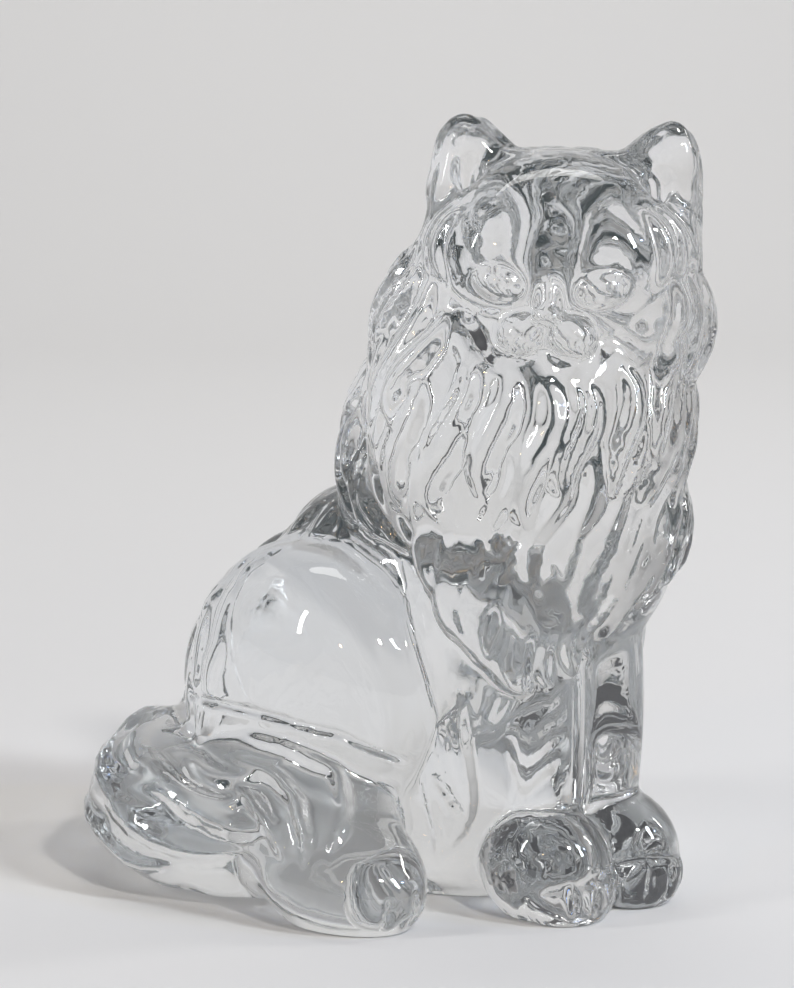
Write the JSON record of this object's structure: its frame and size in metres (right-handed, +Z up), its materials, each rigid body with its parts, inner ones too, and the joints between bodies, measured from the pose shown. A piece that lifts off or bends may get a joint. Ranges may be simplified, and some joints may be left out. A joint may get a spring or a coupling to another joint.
{
  "type": "glass cat figurine",
  "caption": "Sitting long-haired cat in clear pressed lead crystal, head turned to its right, tail curled round its side, flat ground base.",
  "frame": {"origin": "middle of the flat base, under the centre of the bounding box", "axes": "+Z up from the base to the ears, -Y the way the body faces, +X the cat's left"},
  "size_m": [0.0838, 0.105, 0.1302],
  "materials": {
    "crystal": "fire-polished, with a ground flat base"
  },
  "bodies": {
    "root": {"crystal_cat": "crystal"}
  },
  "joints": []
}
